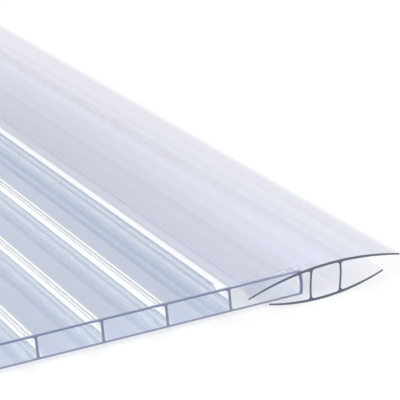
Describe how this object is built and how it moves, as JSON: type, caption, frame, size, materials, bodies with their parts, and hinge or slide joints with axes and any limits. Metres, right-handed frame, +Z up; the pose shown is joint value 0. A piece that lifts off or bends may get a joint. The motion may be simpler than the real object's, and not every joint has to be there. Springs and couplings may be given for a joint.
{
  "type": "multiwall polycarbonate sheet",
  "caption": "Clear twin-wall sheet with wide open cells along its length and a one-piece joining profile, with curved flanges on a chamber, pushed on one edge.",
  "frame": {"origin": "middle of the underside of the whole part: the centre of its bounding box in X and Y, at the height of its lowest point", "axes": "+Y along the open cells, from the front cut end to the back one; +X across the sheet, towards the edge with the joining profile; +Z up, through the thickness"},
  "size_m": [0.735, 1.0052, 0.0143],
  "materials": {
    "clear_sheet": "clear, gloss, faintly blue",
    "clear_profile": "clear, gloss, cut ends slate grey"
  },
  "bodies": {
    "root": {"twinwall_sheet": "clear_sheet", "joining_profile": "clear_profile"}
  },
  "joints": []
}
